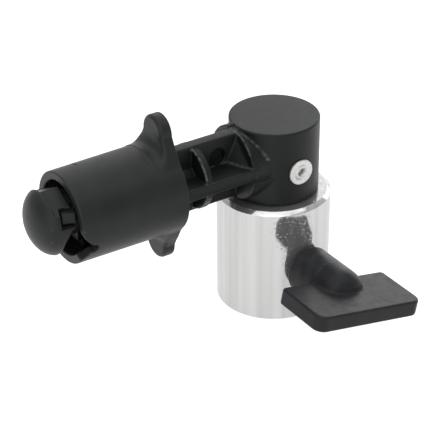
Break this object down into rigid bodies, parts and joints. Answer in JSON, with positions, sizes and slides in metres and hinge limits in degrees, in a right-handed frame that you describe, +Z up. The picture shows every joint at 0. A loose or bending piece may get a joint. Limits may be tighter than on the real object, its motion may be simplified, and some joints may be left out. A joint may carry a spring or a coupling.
{
  "type": "reflector holder grip on a swivel stand receiver",
  "caption": "Spring-loaded sleeve grip with finger ears and domed jaw on a swivelling head over a plated light-stand socket locked by a T-handle screw.",
  "frame": {"origin": "centre of the spigot stop, the flat end of the swivel post's flange at the socket's blind end, on the socket's axis", "axes": "+Z up along the socket and the swivel axis, arm along -X, lock screw along -Y"},
  "size_m": [0.0873, 0.0575, 0.0628],
  "materials": {
    "chrome": "polished",
    "steel": "satin",
    "rivet": "bright",
    "spring_steel": "dark phosphate",
    "brass": "turned",
    "black_plastic": "fine moulded texture",
    "sleeve_plastic": "fine moulded texture",
    "handle_plastic": "satin moulded",
    "nylon": "smooth"
  },
  "bodies": {
    "socket": {"stand_socket": "chrome"},
    "head": {"swivel_post": "steel", "thrust_washer": "nylon", "swivel_head_arm": "black_plastic", "rivet_washer": "rivet", "cross_rivet": "rivet", "jaw_cap": "sleeve_plastic", "grip_tooth": "sleeve_plastic", "grip_spring": "spring_steel"},
    "sleeve": {"grip_sleeve": "sleeve_plastic", "spring_washer": "steel"},
    "clamp": {"pressure_pad": "brass"},
    "handle": {"lock_screw": "steel", "t_handle": "handle_plastic"}
  },
  "joints": [
    {"name": "head_swivel", "type": "hinge", "parent": "socket", "child": "head", "pos_m": [0, 0, 0.0107], "axis": [0, 0, 1], "continuous": true},
    {"name": "sleeve_pull", "type": "slide", "parent": "head", "child": "sleeve", "axis": [1, 0, 0], "range_m": [0, 0.009], "stiffness_N_per_m": 900, "springref_m": -0.004, "deforming": ["grip_spring"]},
    {"name": "screw_advance", "type": "slide", "parent": "socket", "child": "clamp", "axis": [0, -1, 0], "range_m": [-0.0005, 0.002]},
    {"name": "handle_turn", "type": "hinge", "parent": "clamp", "child": "handle", "pos_m": [0, -0.0157, -0.0073], "axis": [0, -1, 0], "range_deg": [-240, 760]}
  ],
  "couplings": [
    {"joint": "handle_turn", "follows": "screw_advance", "rad_per_m": 6283.2}
  ]
}
